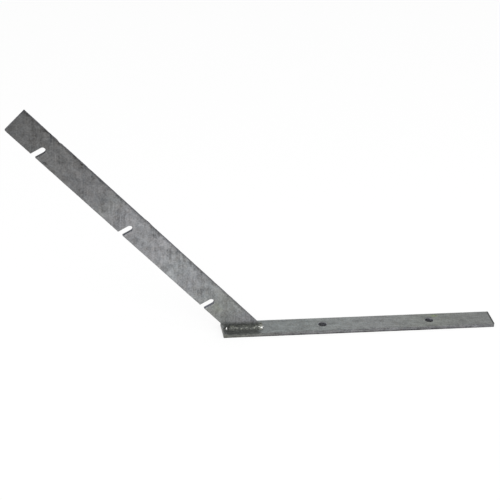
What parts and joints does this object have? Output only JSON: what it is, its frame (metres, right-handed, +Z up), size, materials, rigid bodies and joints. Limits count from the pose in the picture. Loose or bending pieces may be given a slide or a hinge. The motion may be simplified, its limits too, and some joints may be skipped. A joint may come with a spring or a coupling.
{
  "type": "roof bracket",
  "caption": "Welded steel bracket: a slotted flat-bar arm stands on edge and leans back at 45 degrees from a flat base bar with fixing holes.",
  "frame": {"origin": "middle of the pair of fixing holes, on the base bar's underside", "axes": "+X along the base bar towards its free end, away from the arm; +Y across the base bar; +Z up, out of its top face"},
  "size_m": [0.6015, 0.032, 0.2921],
  "materials": {
    "base_steel": "hot-dip galvanised flat bar, matt mid grey with lengthwise streaks",
    "arm_steel": "hot-dip galvanised flat bar, matt grey, mottled, darker towards the tip",
    "weld_metal": "rough zinc over the fillet weld, dark olive grey with lighter crests and bright drops"
  },
  "bodies": {
    "root": {"base_bar": "base_steel", "slotted_arm": "arm_steel", "front_weld": "weld_metal", "rear_weld": "weld_metal"}
  },
  "joints": []
}
